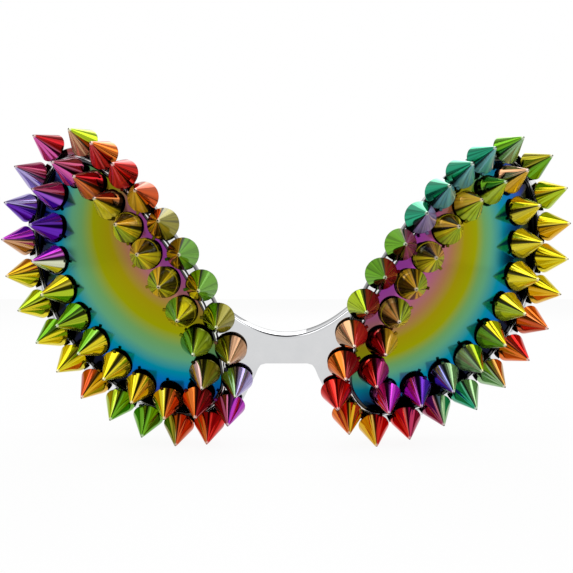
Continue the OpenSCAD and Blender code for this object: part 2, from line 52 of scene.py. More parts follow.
RIM_HALF, RIM_BACK, GROOVE, LENS_T, PLAY = 1.9, 2.6, 0.8, 1.6, 0.1
HINGE_UP, HINGE_H, KNUCKLE_R, LEAF_T, LEAF_L = 5, 8, 1.7, 0.9, 6
END_L, ARM_T, FIT_GAP, LEAF_SUNK, SCREW_SPARE = 10, 3.4, 0.2, 0.5, 0.3
# A wing's outline in hundredths of its width and height, from the nose up and round.
OUTLINE = [(0.8, 9.5), (0, 23), (7.2, 42.2), (26.2, 67.1), (48.3, 88), (71.2, 100), (87.3, 99.7),
           (97.5, 88.5), (100, 73.4), (95.6, 52.3), (83.4, 32.1), (63.2, 14.5), (38.1, 2.5),
           (13.5, 0)]
RIM_STEPS = 12


def bow(d, r):
    return r - math.sqrt(r * r - d * d)


def slope(d, r):
    return d / math.sqrt(r * r - d * d)


def wrap_normal(x, z):
    sideways = math.copysign(slope(max(0, abs(x) - FLAT_HALF), WRAP_R), x)
    return Vector((sideways, -1, slope(z - FACE_MID, FACE_R))).normalized()


def on_wrap(x, z, rise=0):
    back = bow(max(0, abs(x) - FLAT_HALF), WRAP_R) + bow(z - FACE_MID, FACE_R)
    return Vector((x, back, z)) + rise * wrap_normal(x, z)


def smooth_loop(points, steps):
    """Closed smooth curve through flat points."""
    n, made = len(points), []
    for i in range(n):
        a, b, c, d = (Vector(points[(i + k) % n]) for k in (-1, 0, 1, 2))
        for k in range(steps):
            t = k / steps
            made.append(0.5 * (2 * b + (c - a) * t + (2 * a - 5 * b + 4 * c - d) * t * t
                               + (3 * b - a - 3 * c + d) * t ** 3))
    return made


def arc(u, v, ru, rv, start, end, steps):
    """Points on an ellipse about (u, v), from one angle to another."""
    turns = [math.radians(start + (end - start) * k / steps) for k in range(steps + 1)]
    return [(u + ru * math.cos(a), v + rv * math.sin(a)) for a in turns]


def loft(bm, rings, closed=False):
    """Bridges rings of points, one after another, and fills the ends of an open run."""
    loops = []
    for ring in rings:
        verts = [bm.verts.new(p) for p in ring]
        loops.append([bm.edges.new((verts[i - 1], verts[i])) for i in range(len(verts))])
    for a, b in zip(loops, loops[1:] + (loops[:1] if closed else [])):
        bmesh.ops.bridge_loops(bm, edges=a + b)
    if not closed:
        for ends in (loops[0], loops[-1]):
            bmesh.ops.edgeloop_fill(bm, edges=ends)


def mirrored(bm):
    """Adds the same shape on the other side of the nose."""
    copy = bmesh.ops.duplicate(bm, geom=bm.verts[:] + bm.edges[:] + bm.faces[:])["geom"]
    bmesh.ops.scale(bm, vec=(-1, 1, 1),
                    verts=[v for v in copy if isinstance(v, bmesh.types.BMVert)])


class Wire:
    """A number that runs through a material. Working with it adds the Math nodes."""

    def __init__(self, nodes, socket):
        self.nodes, self.socket = nodes, socket

    def _math(self, how, a, b):
        return self.nodes.add("ShaderNodeMath", {"operation": how}, {0: a, 1: b})

    def __add__(self, other):
        return self._math("ADD", self, other)

    def __sub__(self, other):
        return self._math("SUBTRACT", self, other)

    def __rsub__(self, other):
        return self._math("SUBTRACT", other, self)

    def __mul__(self, other):
        return self._math("MULTIPLY", self, other)

    __radd__, __rmul__ = __add__, __mul__


class Nodes:
    """The nodes of one material or of the world."""

    def __init__(self, owner):
        owner.use_nodes = True
        self.owner, self.tree = owner, owner.node_tree

    def add(self, kind, settings=None, sockets=None, output=0):
        node = self.tree.nodes.new(kind)
        for key, value in (settings or {}).items():
            if key == "stops":
                ramp = node.color_ramp
                while len(ramp.elements) < len(value):
                    ramp.elements.new(1)
                for stop, (place, colour) in zip(ramp.elements, value):
                    stop.position, stop.color = place, (*colour, 1)
            else:
                setattr(node, key, value)
        for key, value in (sockets or {}).items():
            self.set(node.inputs[key], value)
        return Wire(self, node.outputs[output])

    def set(self, socket, value):
        if isinstance(value, Wire):
            self.tree.links.new(value.socket, socket)
        else:
            socket.default_value = value

    def mix(self, share, first, second):
        colours = [c if isinstance(c, Wire) else (*c, 1) for c in (first, second)]
        return self.add("ShaderNodeMix", {"data_type": "RGBA"},
                        {0: share, 6: colours[0], 7: colours[1]}, 2)

    def shade(self, **sockets):
        """Sets the surface shader's sockets, by name with _ for a space."""
        shader = self.tree.nodes["Principled BSDF"]
        for key, value in sockets.items():
            if key == "Base_Color" and not isinstance(value, Wire):
                value = (*value, 1)
            self.set(shader.inputs[key.replace("_", " ")], value)
        return self.owner


def paint(red, green, blue):
    """A colour as a paint chart gives it, 0 to 255, for the shaders."""
    return tuple(((c / 255 + 0.055) / 1.055) ** 2.4 if c > 10 else c / 3295
                 for c in (red, green, blue))


def silver_plating():
    n = Nodes(bpy.data.materials.new("silver_plating"))
    place = n.add("ShaderNodeTexCoord", output=3)
    haze = n.add("ShaderNodeTexNoise", None, {"Vector": place, "Scale": 220.0, "Detail": 4.0})
    wave = n.add("ShaderNodeTexNoise", None, {"Vector": place, "Scale": 90.0, "Detail": 1.0})
    bump = n.add("ShaderNodeBump", None, {"Strength": 0.04, "Distance": 0.0004, "Height": wave})
    # An attribute darkens the silver towards near black: painted shade and painted dark
    # reflections.
    painted_shade_share = n.add("ShaderNodeAttribute", {"attribute_name": "smoke"}, output=2)
    silver = n.mix(haze, paint(226, 228, 230), paint(240, 240, 241))
    return n.shade(Base_Color=n.mix(painted_shade_share, silver, paint(8, 8, 11)), Metallic=1.0,
                   Roughness=haze * 0.06 + 0.015, Normal=bump)


SILVER = silver_plating()

rim_line = [Vector((NOSE_HALF + c[0] * WING_W / 100, c[1] * WING_H / 100 - WING_DROP))
            for c in smooth_loop(OUTLINE, RIM_STEPS)]
rim_frames = []
for i, p in enumerate(rim_line):
    ahead, behind = rim_line[(i + 1) % len(rim_line)], rim_line[i - 1]
    forward = wrap_normal(p.x, p.y)
    outward = forward.cross(on_wrap(ahead.x, ahead.y) - on_wrap(behind.x, behind.y)).normalized()
    rim_frames.append((on_wrap(p.x, p.y), outward, forward))


def beside_rim(i, u, n):
    """The point u outward and n forward of the rim's centre line."""
    p, outward, forward = rim_frames[i]
    return p + u * outward + n * forward


# The end piece leaves the rim at the hinge's height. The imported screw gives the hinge's place.
side_i = min((i for i in range(0, len(rim_line), 2) if rim_line[i].x > NOSE_HALF + WING_W / 2),
             key=lambda i: abs(rim_line[i].y - HINGE_UP))
side_edge = beside_rim(side_i, RIM_HALF, -RIM_BACK / 2)
screw_low, screw_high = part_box("hinge_screw_right")
AXIS_X = (screw_low.x + screw_high.x) / 2 / MM
AXIS_Y = side_edge.y + END_L + FIT_GAP
ARM_IN = AXIS_X + LEAF_T + KNUCKLE_R - LEAF_SUNK
GROUND = screw_low.z / MM - (HINGE_UP - HINGE_H / 2 - SCREW_SPARE)
MIDDLE_Y = AXIS_Y - (screw_low.y + screw_high.y) / 2 / MM
STAND = Matrix.Scale(MM, 4) @ Matrix.Translation((0, -MIDDLE_Y, GROUND))


def piece(name, bm, finish, body, nodes=(), crease=40):
    """Stands a shape that was made in millimetres in its place, and names what it is."""
    bmesh.ops.recalc_face_normals(bm, faces=bm.faces[:])
    bmesh.ops.transform(bm, matrix=STAND, verts=bm.verts[:])
    mesh = bpy.data.meshes.new(name)
    bm.to_mesh(mesh)
    bm.free()
    mesh.materials.append(finish)
    mesh.polygons.foreach_set("use_smooth", [True] * len(mesh.polygons))
    mesh.set_sharp_from_angle(angle=math.radians(crease))
    made = bpy.data.objects.new(name, mesh)
    bpy.context.scene.collection.objects.link(made)
    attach(made, body)
    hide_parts(*nodes)
    return made


FLAT_IN, FLAT_OUT, FLAT_RISE = -0.25, 1.5, 0.95
BEAD_AT, BEAD_LOW, BEAD_W, BEAD_H, LINE_DEEP = -0.88, 0.34, 0.3, 0.2, 0.14
RIM_PAINTED_SHADE, BACK_PAINTED_SHADE, PAINTED_SHADE_DOWN_TO = 0.93, 0.15, -2.2


def rim_section(i):
    """A bead beside the lens, a fine groove, and a flat that faces the way the mould opens."""
    outward, forward = rim_frames[i][1:]
    rake = -outward.y / forward.y
    flat = lambda u: FLAT_RISE - max(0, rake) * (FLAT_OUT - u) + min(0, rake) * (u - FLAT_IN)
    low = flat(FLAT_IN)
    bead = max(low, BEAD_LOW)
    return ([(-RIM_HALF, 0.16), (-1.86, 0.3), (-1.5, bead), (-1.25, bead)]
            + arc(BEAD_AT, bead, BEAD_W, BEAD_H, 180, 0, 6)
            + [(-0.48, low - LINE_DEEP), (-0.34, low - LINE_DEEP)]
            + [(u, flat(u)) for u in (FLAT_IN, -0.2, 0.6, 1.44, FLAT_OUT)]
            + arc(1.5, 0.5, 0.4, 0.4, 75, 0, 4) + arc(1.2, -1.9, 0.7, 0.7, 0, -90, 4)
            + arc(-1.2, -2.3, 0.7, 0.3, -90, -180, 3)
            + [(-RIM_HALF, -LENS_T - PLAY), (GROOVE - RIM_HALF, -LENS_T - PLAY),
               (GROOVE - RIM_HALF, PLAY), (-RIM_HALF, PLAY)])


front = bmesh.new()
smoke = front.verts.layers.float.new("smoke")
sections = [rim_section(i) for i in range(len(rim_line))]
loft(front, [[beside_rim(i, u, n) for u, n in section] for i, section in enumerate(sections)],
     closed=True)
# The rim is painted near black, a painted dark reflection, but for its flat and the top of the
# bead; its back gets a light painted shade.
for v, (u, n) in zip(front.verts, (spot for section in sections for spot in section)):
    bright = n > -0.2 and (FLAT_IN - 0.01 < u < FLAT_OUT + 0.01 or -1.05 < u < -0.7)
    v[smoke] = 0 if bright else RIM_PAINTED_SHADE if n > PAINTED_SHADE_DOWN_TO else BACK_PAINTED_SHADE

# The end piece, with its edges rounded, carries the hinge.
END_SPARE, END_ROUND = 0.8, 0.45
END_X = ARM_IN + ARM_T
end_y = AXIS_Y - FIT_GAP
low, high = HINGE_UP - HINGE_H / 2 - END_SPARE, HINGE_UP + HINGE_H / 2 + END_SPARE
corners = [(side_edge.x - 3.2, side_edge.y + 0.3), (side_edge.x - 0.2, side_edge.y),
           (END_X, end_y - 5.5), (END_X, end_y), (ARM_IN, end_y), (ARM_IN, end_y - LEAF_L - 2.1)]
floor_face = front.faces.new([front.verts.new((x, y, low)) for x, y in corners])
raised = bmesh.ops.extrude_face_region(front, geom=[floor_face])["geom"]
bmesh.ops.translate(front, vec=(0, 0, high - low),
                    verts=[v for v in raised if isinstance(v, bmesh.types.BMVert)])
block = {e for f in raised + [floor_face] if isinstance(f, bmesh.types.BMFace) for v in f.verts
         for e in v.link_edges}
bmesh.ops.bevel(front, geom=list(block), offset=END_ROUND, segments=3, profile=0.5,
                affect="EDGES", material=-1)

# The nose rests are curved pads behind the legs of the bridge plate, lofted from level slices.
BRIDGE_DIP, BRIDGE_H, BRIDGE_SWEEP, PLATE_RISE = 12.1, 7.3, 35, 0.9
NOSE_TOP, NOSE_FOOT, PAD_REACH, PAD_T = 7.2, 13.4, 6, 1.8
PLATE_LAP = 2 * RIM_HALF / 12
PLATE_HALF = NOSE_HALF + PLATE_LAP
NOSE_SLICES, END_TURNS = 15, (0.2, 0.6, 1.1)
bridge_foot = -BRIDGE_DIP - BRIDGE_H
NOSE_EDGE = [(0, bridge_foot), (NOSE_TOP - 2, bridge_foot), (NOSE_TOP - 0.7, bridge_foot - 0.4),
             (NOSE_TOP, bridge_foot - 1.4), (NOSE_TOP + 0.8, bridge_foot - 3.4),
             (NOSE_FOOT, 0.4 - WING_DROP), (NOSE_FOOT + 1.2, -WING_DROP - 0.4),
             (PLATE_HALF, 0.4 - WING_DROP)]


def nose_slice(start, stop, r, z):
    """A level slice of a nose rest: a bar with round ends, from near the plate to its back."""
    lean = math.degrees(math.atan2(stop.y - start.y, stop.x - start.x))
    return [(*p, z) for p in arc(*stop, r, r, lean - 90, lean + 90, 8)
            + arc(*start, r, r, lean + 90, lean + 270, 8)]


nose_rings = []
for k in range(NOSE_SLICES):
    t = k / (NOSE_SLICES - 1)
    x = NOSE_TOP + 1.4 + t * (NOSE_FOOT - NOSE_TOP - 1) + PAD_T / 2
    z = bridge_foot - 3 - t * (WING_DROP + bridge_foot - 5.5)
    reach = PAD_REACH * (0.55 + 0.45 * math.sin(math.pi * t))
    start = Vector((x + 0.64, on_wrap(x, z).y + 0.4 * reach))
    stop = Vector((x + 1.6, on_wrap(x, z).y + reach))
    levels = [(math.sin(a), math.cos(a)) for a in END_TURNS] if k == 0 else []
    levels += [(1, 0)]
    if k == NOSE_SLICES - 1:
        levels += [(math.sin(a), -math.cos(a)) for a in END_TURNS[::-1]]
    nose_rings += [nose_slice(start, stop, PAD_T / 2 * wide, z + PAD_T / 2 * up)
                   for wide, up in levels]
loft(front, nose_rings)
mirrored(front)


def along(table, x):
    """Reads a height off a list of (distance, height) points."""
    for (a, low_a), (b, low_b) in zip(table, table[1:]):
        if x <= b:
            return low_a + (low_b - low_a) * (x - a) / (b - a)
    return table[-1][1]


PLATE_COLS, PLATE_ROWS, SWEEP_END, EDGE_FALL, LEG_FALL = 120, 96, 14, 0.85, 0.553


def plate_top(x):
    """Height of the bridge's top edge: a parabola that runs on straight past its end."""
    rise = x * x if x < SWEEP_END else SWEEP_END * (2 * x - SWEEP_END)
    return rise / BRIDGE_SWEEP - BRIDGE_DIP


def smooth_step(low, high, value):
    t = min(1, max(0, (value - low) / (high - low)))
    return t * t * (3 - 2 * t)


def edge_painted_shade(x, down, is_back):
    """How dark the bridge plate is painted, by its distance down from the top edge: a fine dark
    line along the edge, strongest in the middle, a painted dark reflection, and a light painted
    shade under it that greys the plate. On the back, only the very top edge is painted dark."""
    if is_back:
        return 0.95 * smooth_step(0.02, 0, down)
    # Painted dark reflection: a fine dark line just under the top edge; the plate has no cut
    # there.
    groove = (0.97 - 0.4 * smooth_step(4, 13, abs(x))) * smooth_step(0.12, 0.06, abs(down - 0.14))
    return max(groove, 0.18 * smooth_step(0.15, 0.4, down))


# The bridge plate is a grid pulled into shape, with a rounded front edge.
plate = bmesh.ops.create_grid(front, x_segments=PLATE_COLS, y_segments=PLATE_ROWS,
                              size=1)["verts"]
faces = list({f for v in plate for f in v.link_faces})
lifted = bmesh.ops.extrude_face_region(front, geom=faces)["geom"]
behind = [v for v in lifted if isinstance(v, bmesh.types.BMVert)]
bmesh.ops.translate(front, vec=(0, 0, -1), verts=behind)
for v in set(plate) | set(behind):
    x, is_back = v.co.x * PLATE_HALF, v.co.z < -0.5
    share = 0.5 + 0.5 * math.sin(math.pi / 2 * v.co.y)
    top, foot = plate_top(abs(x)), along(NOSE_EDGE, abs(x))
    leg = 1 - LEG_FALL * smooth_step(NOSE_TOP - 2.4, NOSE_TOP + 0.4, abs(x))
    z = foot + share * (top - foot)
    inset = min(1, (top - z) * EDGE_FALL, (z - foot) * leg)
    rise = PLATE_RISE - 1 + math.sqrt(max(0, 1 - (1 - inset) ** 2))
    # The bridge plate's painted shade and painted dark lines.
    v[smoke] = edge_painted_shade(x, top - z, is_back)
    v.co = on_wrap(x, z, -RIM_BACK if is_back else rise)
piece("plated_front", front, SILVER, "front", ["front_frame"])

# Each lens is a moulded sheet with a rainbow mirror coating. It lies flush in the rim's groove
# and follows the wrap of the front. The coating's colours run in rings about the nose.
RING_PLACE = {"left": (-20, 17.5), "right": (16, 14)}
RING_REACH = 60
RING_ENDS = {"left": (0, 14, 18, 22, 25.5, 30, 33.5, 36.5, 40, 43, 46.5, 49.5, RING_REACH),
             "right": (0, 17, 22, 26.5, 29.5, 33, 35.3, 37.3, 41, 44.5, 48, 51, RING_REACH)}
# The last two tones take the part of each lens farthest from the nose to near black: painted
# shade.
RING_TONES = ((120, 40, 150), (160, 65, 160), (165, 85, 130), (160, 112, 75), (152, 138, 10),
              (146, 150, 5), (105, 154, 90), (90, 156, 118), (0, 132, 155), (0, 102, 175),
              (40, 60, 150), (20, 20, 35), (6, 6, 10))


def mirror_coating(side):
    n = Nodes(bpy.data.materials.new(f"mirror_coating_{side}"))
    place = n.add("ShaderNodeTexCoord", output=3)
    flat = n.add("ShaderNodeVectorMath", {"operation": "MULTIPLY"}, {0: place, 1: (1, 0, 1)})
    x, z = RING_PLACE[side]
    reach = n.add("ShaderNodeVectorMath", {"operation": "DISTANCE"},
                  {0: flat, 1: (x * MM, 0, (z + GROUND) * MM)}, 1)
    cloud = n.add("ShaderNodeTexNoise", None, {"Vector": place, "Scale": 45.0, "Detail": 2.0})
    stops = [(d / RING_REACH, paint(*c)) for d, c in zip(RING_ENDS[side], RING_TONES)]
    colour = n.add("ShaderNodeValToRGB", {"stops": stops},
                   {"Fac": reach * (1000 / RING_REACH) + (cloud - 0.5) * 0.02})
    haze = n.add("ShaderNodeTexNoise", None, {"Vector": place, "Scale": 400.0, "Detail": 3.0})
    # An attribute takes the coating towards near black: painted shade near the edge, and the bare
    # dark back.
    shaded = n.add("ShaderNodeAttribute", {"attribute_name": "shaded_edge"}, output=2)
    return n.shade(Base_Color=n.mix(shaded, colour, paint(10, 12, 18)), Metallic=1.0,
                   Roughness=haze * 0.06 + 0.08)


lens_edge = [beside_rim(i, GROOVE - RIM_HALF - PLAY, 0) for i in range(len(rim_line))]
middle = Vector([(max(p[k] for p in lens_edge) + min(p[k] for p in lens_edge)) / 2
                 for k in (0, 2)])
LENS_RINGS, LENS_ROUND, BARE_BACK = 28, 0.2, 0.96
SHADE_FULL, SHADE_END = 3.9, 4.9
shares = [0.02] + [math.sqrt(k / LENS_RINGS) for k in range(1, LENS_RINGS)] + [0.992]
layers = shares + [1, 1] + shares[::-1]
for side, turn in (("left", -1), ("right", 1)):
    lens = bmesh.new()
    shaded_edge = lens.verts.layers.float.new("shaded_edge")
    spots = lambda share: [middle + share * (Vector((p.x, p.z)) - middle) for p in lens_edge]
    loft(lens, [[on_wrap(*q, -LENS_T) for q in spots(s)] for s in shares]
         + [[on_wrap(*q, rise) for q in spots(1)] for rise in (LENS_ROUND - LENS_T, -LENS_ROUND)]
         + [[on_wrap(*q) for q in spots(s)] for s in reversed(shares)])
    # The back is bare dark plastic. The coated front gets painted shade behind the spikes, most
    # of all
    #     along the lower row.
    marks = [Vector((p.x, p.z)) for p in lens_edge[::2]]
    for k, v in enumerate(lens.verts):
        share = layers[k // len(lens_edge)]
        spot = Vector((v.co.x, v.co.z))
        away = (spot - middle).normalized()
        inside = min((spot - mark).length for mark in marks) if share > 0.7 else SHADE_END
        lower = smooth_step(0.45, 0.65, 0.35 * away.x - 0.94 * away.y)
        v[shaded_edge] = (0.35 + 0.6 * lower) * smooth_step(SHADE_END, SHADE_FULL, inside)
        if k < len(shares) * len(lens_edge):
            v[shaded_edge] = BARE_BACK
    bmesh.ops.scale(lens, vec=(turn, 1, 1), verts=lens.verts[:])
    piece(f"mirror_lens_{side}", lens, mirror_coating(side), "front",
          [f"lens_{side}"])

# The spikes are 85 moulded cones, glued by their flat backs in two rows round each wing. Their
# plating runs through two tones, one on each flank, and a third where it faces the lens. A bit
# of the moulding gate is left on each base, and the blunt tip has a pinhead dimple.
SPIKE_R, SPIKE_H, SEGMENTS = 4, 7.9, 96
SLANT = 0.503
NUB_SIZE, NUB_OUT, NUB_UP, NUB_ROUND = (0.9, 0.8, 0.6), 0.15, 0.45, 0.16
# Across a cone, in shares of its radius: the place and half width of the painted highlight band,
# and half the width of the painted dark reflection beside it.
LIGHT_BAND = {"inner": (0.29, 0.09, 0.12), "outer": (0.16, 0.06, 0.05)}
PROFILE = ([(0, 0), (3.3, 0), (3.75, 0.02), (3.89, 0.14), (3.98, 0.3), (3.92, 0.44)]
           + [(3.83 - SLANT * (h - 0.62), h) for h in (0.62, 0.95, 1.2, 1.45, 4.1, 7.1, 7.36)]
           + [(0.35, 7.52), (0.28, 7.64), (0.22, 7.74), (0.17, 7.74), (0.12, 7.62), (0, 7.58)])
TONES = {"scarlet": (206, 40, 34), "crimson": (150, 24, 30), "rust": (198, 84, 42),
         "orange": (222, 112, 40), "brown": (150, 88, 44), "gold": (220, 170, 36),
         "ochre": (196, 146, 70), "yellow": (228, 210, 36), "olive": (150, 142, 36),
         "lime": (168, 192, 40), "green": (104, 164, 36), "leaf": (58, 124, 44),
         "sage": (142, 178, 128), "teal": (44, 156, 118), "aqua": (106, 178, 184),
         "periwinkle": (128, 134, 204), "lavender": (172, 158, 212), "amethyst": (150, 84, 200),
         "violet": (98, 40, 174), "orchid": (182, 58, 186), "magenta": (194, 42, 126),
         "pink": (212, 90, 164), "rose": (184, 54, 92), "tan": (204, 154, 112),
         "blush": (192, 156, 150), "mauve": (158, 70, 98), "silver": (208, 212, 180)}
OUTER_LEFT = """mauve/orchid sage/lavender olive/tan lime/olive yellow/green gold/green gold/olive
    rust/gold scarlet/scarlet orange/scarlet lime/tan crimson/pink mauve/lavender
    lavender/violet orchid/tan gold/yellow lime/yellow green/yellow yellow/yellow rust/gold
    lime/green green/green olive/rust orange/scarlet"""
INNER_LEFT = """orange/crimson blush/olive green/lime gold/yellow/green gold/yellow/lime
    gold/yellow/lime gold/yellow/lime brown/yellow crimson/orange mauve/pink
    mauve/amethyst violet/violet orchid/silver yellow/lime green/lime green/yellow
    yellow/yellow yellow/gold yellow/orange"""
OUTER_RIGHT = """orange/gold scarlet/scarlet orange/crimson tan/scarlet lime/crimson
    green/crimson green/mauve teal/lavender teal/aqua teal/aqua teal/aqua green/sage
    olive/green yellow/lime yellow/gold yellow/yellow yellow/gold orange/rust scarlet/orange
    ochre/sage teal/sage mauve/sage scarlet/rose gold/scarlet"""
INNER_RIGHT = """scarlet/magenta crimson/gold ochre/yellow/lime gold/gold/lime
    ochre/yellow/lime gold/yellow/lime gold/yellow/lime green/lime tan/gold yellow/yellow
    yellow/yellow yellow/yellow yellow/lime yellow/green lime/sage periwinkle/sage
    orchid/violet pink/orchid"""
ROWS = {("outer", "left"): OUTER_LEFT, ("inner", "left"): INNER_LEFT,
        ("outer", "right"): OUTER_RIGHT, ("inner", "right"): INNER_RIGHT}


def iris_plating():
    n = Nodes(bpy.data.materials.new("iris_plating"))
    place = n.add("ShaderNodeTexCoord", output=3)
    tone = n.add("ShaderNodeAttribute", {"attribute_name": "plating"})
    haze = n.add("ShaderNodeTexNoise", None, {"Vector": place, "Scale": 300.0, "Detail": 3.0})
    wave = n.add("ShaderNodeTexNoise", None, {"Vector": place, "Scale": 500.0, "Detail": 1.0})
    bump = n.add("ShaderNodeBump", None, {"Strength": 0.05, "Distance": 0.0002, "Height": wave})
    bare = n.add("ShaderNodeAttribute", {"attribute_name": "plating"}, output=3)
    return n.shade(Base_Color=tone, Metallic=bare, Roughness=haze * 0.08 + 0.05, Normal=bump)


IRIS = iris_plating()
wing_middle = Vector((NOSE_HALF + WING_W / 2, WING_H / 2 - WING_DROP))


def linked(start):
    """Every vertex that edges join to these."""
    found, waiting = set(start), list(start)
    while waiting:
        v = waiting.pop()
        near = {e.other_vert(v) for e in v.link_edges} - found
        found |= near
        waiting += near
    return found


def glued_places(node):
    """The tip and direction of each packed spike of a node, in row order, in millimetres."""
    bm = bmesh.new()
    bm.from_mesh(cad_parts[node].data)
    bmesh.ops.remove_doubles(bm, verts=bm.verts[:], dist=1e-6)
    bmesh.ops.transform(bm, matrix=STAND.inverted(), verts=bm.verts[:])
    waiting, places = bm.verts[:], []
    while waiting:
        island = linked(waiting[:1])
        spots = [v.co for v in waiting if v in island]
        waiting = [v for v in waiting if v not in island]
        centre = sum(spots, Vector()) / len(spots)
        reach = max((p - centre).length for p in spots)
        rim = [p for p in spots if (p - centre).length > reach - 0.2]
        base = sum(rim, Vector()) / len(rim)
        aim = (centre - base).normalized()
        places.append((base + aim * max((p - base).dot(aim) for p in spots), aim))
    bm.free()
    toward = lambda p: Vector((abs(p.x), p.z)) - wing_middle
    mean = sum((toward(tip).normalized() for tip, _ in places), Vector((0, 0)))
    return sorted(places, key=lambda place: mean.angle_signed(toward(place[0])))


def add_spike(bm, layer, tip, aim, tones, row, chance):
    """Spins one cone, colours its flanks, paints its highlights and shade, and leaves the gate's
    nub on the side of the lens.
    """
    lean = Vector((aim.x, 0, aim.z))
    if lean.length <= 0.02:
        lean = Vector((0, 0, -1))
    flank = aim.cross(lean.cross(Vector((0, 1, 0)))).cross(aim).normalized()
    if flank.z - 0.5 * flank.x < 0:
        flank.negate()
    across = aim.cross(flank)
    turn = Matrix((flank, across, aim)).transposed().to_4x4()
    place = Matrix.Translation(tip - SPIKE_H * aim) @ turn
    outline = [bm.verts.new((r, 0, h)) for r, h in PROFILE]
    edges = [bm.edges.new(pair) for pair in zip(outline, outline[1:])]
    bmesh.ops.spin(bm, geom=outline + edges, axis=(0, 0, 1), cent=(0, 0, 0), angle=2 * math.pi,
                   steps=SEGMENTS, use_merge=True)
    inward = wing_middle - Vector((abs(tip.x), tip.z))
    aside = turn.inverted() @ Vector((math.copysign(1, tip.x) * inward.x, 0, inward.y))
    way = math.atan2(aside.y, aside.x)
    frontal = smooth_step(0.74, 0.88, -aim.y)
    # Fine radial streaks round the cone, a few of them dark lines: painted reflections.
    lines, depth = (0.3, 0.12) if len(tones) == 3 else (0.14, 0.4)
    painted_streaks = [depth if chance.random() < lines else chance.uniform(0.85, 1.15)
               for _ in range(SEGMENTS)]
    ridge = chance.uniform(-0.06, 0.06)
    # Painted highlight: a pale band along one flank, near white on cones seen from the side and
    # tinted by the first tone on cones that face forward.
    pale = chance.choice((0.1, 0.4, 0.75)) * (1 - 0.6 * frontal)
    glare_at, glare_half, dark = LIGHT_BAND[row]
    first, second, third = (Vector(paint(*TONES[t])) for t in (*tones, *tones)[:3])
    glare = 0.3 * first + Vector((0.66, 0.64, 0.6))
    shine = glare.lerp(0.95 * first + Vector((0.24, 0.24, 0.14)), 0.85 * frontal)
    colours = {}
    for v in linked(outline):
        a = math.atan2(v.co.y, v.co.x)
        k = round(a / (2 * math.pi) * SEGMENTS) % SEGMENTS
        painted_streak = (painted_streaks[k - 1] + 4 * painted_streaks[k] + painted_streaks[(k + 1) % SEGMENTS]) / 6
        side, facing = math.cos(a), math.cos(a - way)
        colour = second.lerp(first, smooth_step(-0.15, 0.2, side))
        lit = math.exp(-((side - ridge - glare_at) / glare_half) ** 2)
        colour = colour.lerp(shine, pale * lit)
        # Painted dark reflection: a dark wedge along the ridge, beside the highlight band.
        painted_dark_wedge = 1 - 0.96 * smooth_step(dark + 0.1, dark, abs(side - ridge + 0.02))
        colour *= painted_streak * painted_dark_wedge
        # Flanks that see only other spikes are made less metallic, or they would come out black.
        mirror = 1 - 0.7 * smooth_step(0.84, 0.94, -aim.y) * smooth_step(0.1, -0.15, side)
        if len(tones) == 3:
            # Painted dark reflection on the outward side, a painted glint arc near the base, and
            # the rest brightened.
            lens_side = smooth_step(0.62, 0.72, facing)
            back_side = smooth_step(0.7, 0.85, -facing)
            glint = max(0, 1 - abs(v.co.z - 1.2) / 0.25) * smooth_step(0.1, 0.3, -facing)
            colour = (1.3 * colour * (1 - 0.9 * back_side)).lerp(1.4 * second, 0.8 * glint)
            colour = colour.lerp(1.2 * third * painted_streak, lens_side)
            mirror = 0.3
        # Painted highlight: a pale ring round the tip of cones that face forward.
        ring = 0.7 * frontal * smooth_step(7.1, 7.5, v.co.z)
        # Painted shade in the tip's dimple, on cones that face forward.
        dimple = 1 - 0.96 * frontal if v.co.z > 7 and math.hypot(v.co.x, v.co.y) < 0.18 else 1
        # Painted shade: the foot of the cone and its flat back go near black.
        base = 0.06 + 0.94 * smooth_step(0.1, 0.5, v.co.z)
        colours[v] = (*(min(0.95, c) * base * dimple for c in colour.lerp(glare, ring)), mirror)
    way += chance.uniform(-0.35, 0.35)
    nub = bmesh.ops.create_cube(bm, size=1, matrix=Matrix.Rotation(way, 4, "Z")
                                @ Matrix.Translation((SPIKE_R + NUB_OUT, 0, NUB_UP))
                                @ Matrix.Diagonal((*NUB_SIZE, 1)))["verts"]
    nub = bmesh.ops.bevel(bm, geom=list({e for v in nub for e in v.link_edges}),
                          offset=NUB_ROUND, segments=2, profile=0.5, affect="EDGES",
                          material=-1)["verts"]
    gloom = chance.uniform(0.02, 0.3)
    for v in nub:
        colours[v] = (*(second * gloom), 1)
    for v, colour in colours.items():
        v[layer] = colour
    bmesh.ops.transform(bm, matrix=place, verts=list(colours))


for (row, side), words in ROWS.items():
    pairs = [word.split("/") for word in words.split()]
    for part in ("nose", "brow", "side", "base"):
        node = f"{row}_spikes_{side}_{part}"
        spikes = bmesh.new()
        layer = spikes.verts.layers.float_color.new("plating")
        chance = random.Random(node)
        for tip, aim in glued_places(node):
            add_spike(spikes, layer, tip, aim, pairs.pop(0), row, chance)
        piece(f"plated_{node}", spikes, IRIS, "front", [node], 32)

# The hinges are stamped steel leaves with turned knuckles, held by a slotted screw and by
# rivets through the end piece and the arm. They stay as packed, in brushed steel.


def hinge_steel():
    n = Nodes(bpy.data.materials.new("hinge_steel"))
    place = n.add("ShaderNodeTexCoord", output=3)
    drawn = n.add("ShaderNodeMapping", None, {"Vector": place, "Scale": (900, 120, 2600)})
    grain = n.add("ShaderNodeTexNoise", None, {"Vector": drawn, "Scale": 1.0, "Detail": 3.0})
    bump = n.add("ShaderNodeBump", None, {"Strength": 0.15, "Distance": 0.0001, "Height": grain})
    return n.shade(Base_Color=n.mix(grain, paint(168, 170, 172), paint(205, 206, 208)),
                   Metallic=1.0, Roughness=grain * 0.2 + 0.22, Normal=bump)


STEEL = hinge_steel()
for name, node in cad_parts.items():
    if "hinge" in name or "rivets" in name:
        node.data.materials.clear()
        node.data.materials.append(STEEL)

